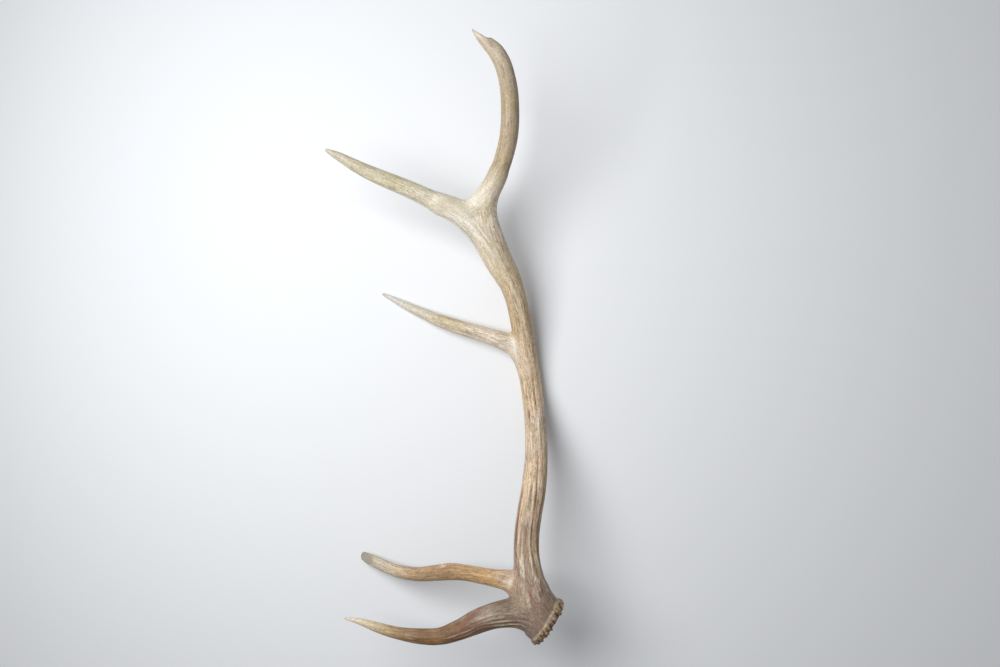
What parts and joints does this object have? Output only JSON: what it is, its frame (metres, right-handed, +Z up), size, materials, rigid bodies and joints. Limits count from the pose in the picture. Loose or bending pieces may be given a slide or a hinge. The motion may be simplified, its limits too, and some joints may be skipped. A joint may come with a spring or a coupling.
{
  "type": "shed deer antler",
  "caption": "Shed branching antler of weathered bone: a long curved beam with a knobbed burr at its foot and pointed tines, lying on its outer side.",
  "frame": {"origin": "on the surface that the antler lies on, under the middle of its box", "axes": "+Z up from the surface; +Y along the beam, from the burr to the crown; the tines point towards -X"},
  "size_m": [0.3489, 0.8824, 0.2193],
  "materials": {
    "base_bone": "matte",
    "brow_bone": "matte",
    "bez_bone": "matte",
    "lower_beam_bone": "matte",
    "upper_beam_bone": "matte",
    "trez_bone": "matte",
    "crown_front_bone": "matte",
    "crown_rear_bone": "matte"
  },
  "bodies": {
    "root": {"burr_base": "base_bone", "brow_tine": "brow_bone", "bez_tine": "bez_bone", "lower_beam": "lower_beam_bone", "upper_beam": "upper_beam_bone", "trez_tine": "trez_bone", "crown_front_tine": "crown_front_bone", "crown_rear_tine": "crown_rear_bone"}
  },
  "joints": []
}
